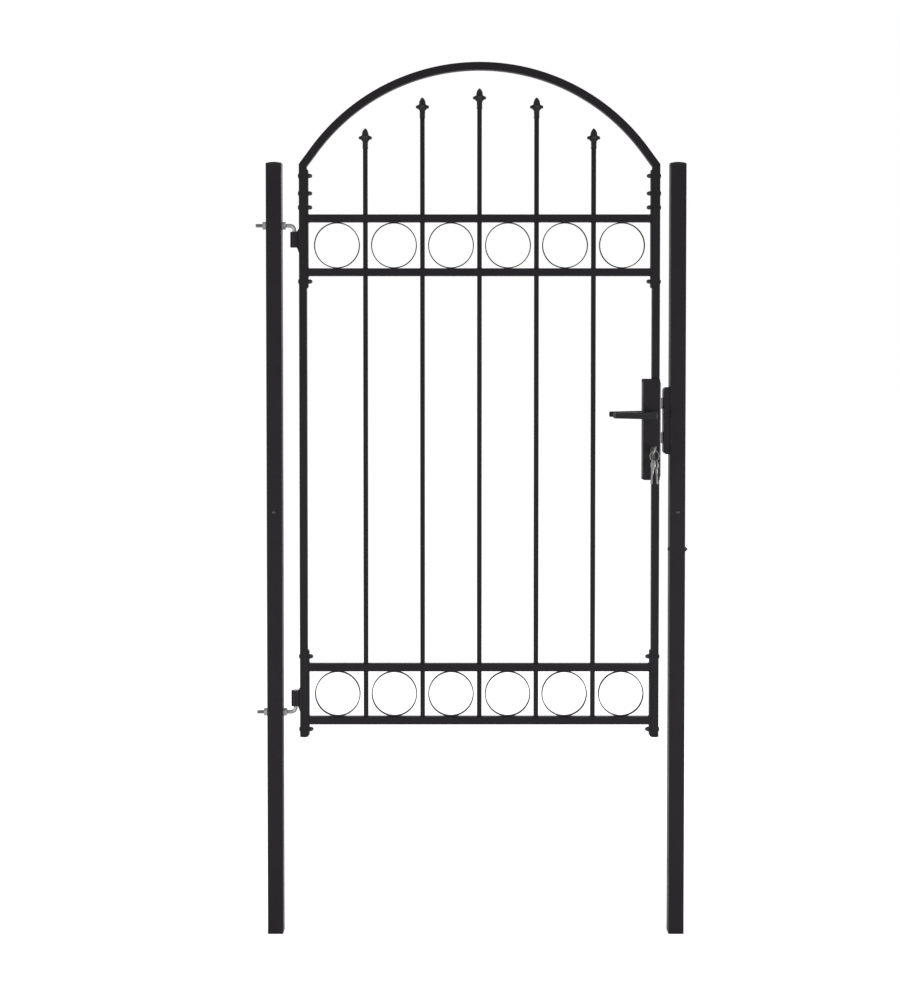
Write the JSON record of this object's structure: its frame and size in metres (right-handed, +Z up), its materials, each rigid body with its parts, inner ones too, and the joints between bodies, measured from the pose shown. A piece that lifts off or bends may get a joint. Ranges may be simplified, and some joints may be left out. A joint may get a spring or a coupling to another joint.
{
  "type": "arched steel garden gate",
  "caption": "Arched steel pedestrian gate leaf with ring bands and spear-topped pickets, hung between square posts on bent hinge pins, with a lever lock and keeper.",
  "frame": {"origin": "centre of the flat foot of the hinge post", "axes": "+X towards the latch post, -Y towards the front (the side that the keys are on), +Z up"},
  "size_m": [1.116, 0.1216, 2.255],
  "materials": {
    "black_coat": "satin black powder coat",
    "zinc_plate": "bright zinc plate",
    "black_plastic": "matt black plastic",
    "key_nickel": "nickel plate"
  },
  "bodies": {
    "posts": {"hinge_post_lower": "black_coat", "hinge_post_upper": "black_coat", "latch_post_lower": "black_coat", "latch_post_upper": "black_coat", "post_sleeves": "black_coat", "post_caps": "black_plastic", "post_feet": "black_plastic", "post_bolts": "black_coat", "keeper": "black_coat", "upper_hinge_pin": "zinc_plate", "lower_hinge_pin": "zinc_plate", "upper_hinge_nuts": "zinc_plate", "lower_hinge_nuts": "zinc_plate"},
    "leaf": {"hinge_stile": "black_coat", "lock_stile": "black_coat", "stile_plugs": "black_plastic", "arch": "black_coat", "upper_end_bars": "black_coat", "lower_end_bars": "black_coat", "upper_band_top_rail": "black_coat", "upper_band_bottom_rail": "black_coat", "lower_band_top_rail": "black_coat", "lower_band_bottom_rail": "black_coat", "picket_1": "black_coat", "picket_2": "black_coat", "picket_3": "black_coat", "picket_4": "black_coat", "picket_5": "black_coat", "spearheads": "black_coat", "upper_rings": "black_coat", "lower_rings": "black_coat", "upper_hinge_barrel": "black_coat", "lower_hinge_barrel": "black_coat", "hinge_side_bolts": "black_coat", "lock_side_bolts": "black_coat", "lock_box": "black_coat", "lock_case": "zinc_plate", "faceplate": "zinc_plate", "lock_plates": "black_coat", "key_cylinder": "key_nickel", "dead_bolt": "zinc_plate", "key_in_lock": "key_nickel", "spare_keys": "key_nickel"},
    "lever": {"levers": "black_coat", "spindle": "zinc_plate"},
    "latch": {"latch_bolt": "zinc_plate"}
  },
  "joints": [
    {"name": "leaf_swing", "type": "hinge", "parent": "posts", "child": "leaf", "pos_m": [0.052, 0, 0.6], "axis": [0, 0, 1], "range_deg": [0, 100]},
    {"name": "lever_turn", "type": "hinge", "parent": "leaf", "child": "lever", "pos_m": [0.976, 0, 1.348], "axis": [0, -1, 0], "range_deg": [0, 40], "stiffness_Nm_per_rad": 1.2, "springref_deg": -34.38},
    {"name": "latch_slide", "type": "slide", "parent": "leaf", "child": "latch", "axis": [-1, 0, 0], "range_m": [0, 0.007]}
  ],
  "couplings": [
    {"joint": "latch_slide", "follows": "lever_turn", "m_per_rad": 0.01}
  ]
}
